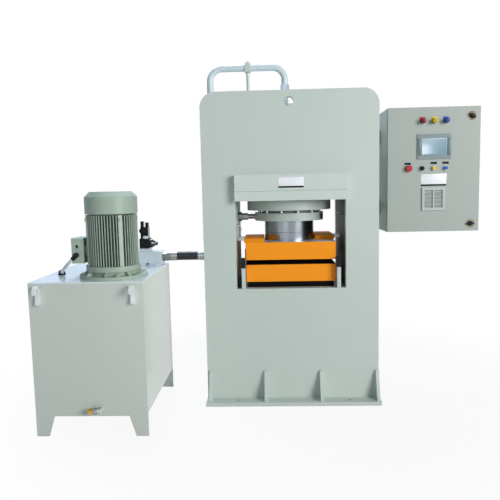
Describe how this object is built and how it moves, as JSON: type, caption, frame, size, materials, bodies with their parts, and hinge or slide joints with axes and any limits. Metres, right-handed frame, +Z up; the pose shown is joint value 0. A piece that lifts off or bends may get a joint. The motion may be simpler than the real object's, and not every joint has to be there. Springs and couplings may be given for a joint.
{
  "type": "compression moulding press",
  "caption": "Hydraulic compression moulding press: plate frame with window, ram and heated platens, oil power pack with an upright motor at the left, hinged-door control panel at the right.",
  "frame": {"origin": "on the floor, under the axis of the press cylinder", "axes": "+X to the operator's right, from the power pack to the control panel, +Y from the operator's side to the back, +Z up"},
  "size_m": [2.703, 1.255, 2.189],
  "materials": {
    "press_paint": "satin",
    "tank_paint": "satin",
    "motor_paint": "satin",
    "panel_paint": "fine texture",
    "platen_paint": "gloss",
    "ram_chrome": "polished",
    "bright_steel": "brushed",
    "dark_steel": "blackened",
    "brass": "bright",
    "black_rubber": "matte",
    "black_plastic": "matte",
    "grey_plastic": "matte",
    "screen_plastic": "satin",
    "red_plastic": "gloss",
    "yellow_plastic": "gloss",
    "blue_plastic": "gloss"
  },
  "bodies": {
    "press": {"front_plate": "press_paint", "rear_plate": "press_paint", "inner_webs": "press_paint", "outer_webs": "press_paint", "base_plate": "press_paint", "foot_gussets": "press_paint", "top_bolster": "press_paint", "bed_plate": "press_paint", "crown_plate": "press_paint", "cylinder_barrel": "press_paint", "gland_ring": "press_paint", "gland_bolts": "bright_steel", "retract_fitting": "dark_steel", "lower_platen": "platen_paint", "insulation_board": "black_plastic", "stop_posts": "press_paint", "post_caps": "black_plastic", "heater_terminal": "black_plastic", "limit_switch": "dark_steel", "pressure_pipe": "press_paint", "pipe_nuts": "bright_steel", "pipe_clamps": "press_paint", "pressure_hose": "black_rubber", "hose_ferrules": "bright_steel", "tank_front_plate": "tank_paint", "tank_rear_plate": "tank_paint", "tank_shell": "tank_paint", "tank_lid": "tank_paint", "lifting_hooks": "tank_paint", "drain_plug": "brass", "gear_pump": "dark_steel", "motor_flange": "motor_paint", "motor_frame": "motor_paint", "fan_cowl": "motor_paint", "terminal_box": "motor_paint", "cable_glands": "black_plastic", "motor_conduit": "grey_plastic", "manifold_block": "press_paint", "valve_stack": "black_plastic", "panel_box": "panel_paint", "panel_brackets": "press_paint"},
    "ram": {"ram": "ram_chrome", "ram_adapter": "ram_chrome", "guide_wings": "platen_paint", "guide_shoes": "bright_steel", "upper_platen": "platen_paint"},
    "door": {"panel_door": "panel_paint", "screen_frame": "screen_plastic", "pilot_lamps": "red_plastic", "button_bezels": "bright_steel", "filter_grille": "panel_paint"},
    "top_lock": {"top_lock": "black_plastic"},
    "bottom_lock": {"bottom_lock": "black_plastic"},
    "estop": {"estop_head": "red_plastic"},
    "selector": {"selector_knob": "black_plastic"},
    "yellow_push": {"yellow_button": "yellow_plastic"},
    "blue_push": {"blue_button": "blue_plastic"},
    "rotor": {"motor_rotor": "bright_steel", "motor_fan": "black_plastic"},
    "limit_arm": {"limit_lever": "bright_steel"}
  },
  "joints": [
    {"name": "ram_slide", "type": "slide", "parent": "press", "child": "ram", "axis": [0, 0, 1], "range_m": [-0.03, 0.07]},
    {"name": "door_hinge", "type": "hinge", "parent": "press", "child": "door", "pos_m": [0.652, -0.087, 1.47], "axis": [0, 0, -1], "range_deg": [0, 95]},
    {"name": "top_lock_turn", "type": "hinge", "parent": "door", "child": "top_lock", "pos_m": [1.179, -0.1, 1.81], "axis": [0, 1, 0], "range_deg": [0, 90]},
    {"name": "bottom_lock_turn", "type": "hinge", "parent": "door", "child": "bottom_lock", "pos_m": [1.179, -0.1, 1.118], "axis": [0, 1, 0], "range_deg": [0, 90]},
    {"name": "estop_press", "type": "slide", "parent": "door", "child": "estop", "axis": [0, 1, 0], "range_m": [0, 0.006]},
    {"name": "selector_turn", "type": "hinge", "parent": "door", "child": "selector", "pos_m": [0.864, -0.1, 1.481], "axis": [0, 1, 0], "range_deg": [-45, 45]},
    {"name": "yellow_press", "type": "slide", "parent": "door", "child": "yellow_push", "axis": [0, 1, 0], "range_m": [0, 0.004], "stiffness_N_per_m": 400},
    {"name": "blue_press", "type": "slide", "parent": "door", "child": "blue_push", "axis": [0, 1, 0], "range_m": [0, 0.004], "stiffness_N_per_m": 400},
    {"name": "motor_spin", "type": "hinge", "parent": "press", "child": "rotor", "pos_m": [-1.046, -0.587, 1.1], "axis": [0, 0, 1], "continuous": true},
    {"name": "limit_arm_swing", "type": "hinge", "parent": "press", "child": "limit_arm", "pos_m": [-0.345, -0.19, 1.139], "axis": [1, 0, 0], "range_deg": [-30, 30], "stiffness_Nm_per_rad": 0.5}
  ]
}
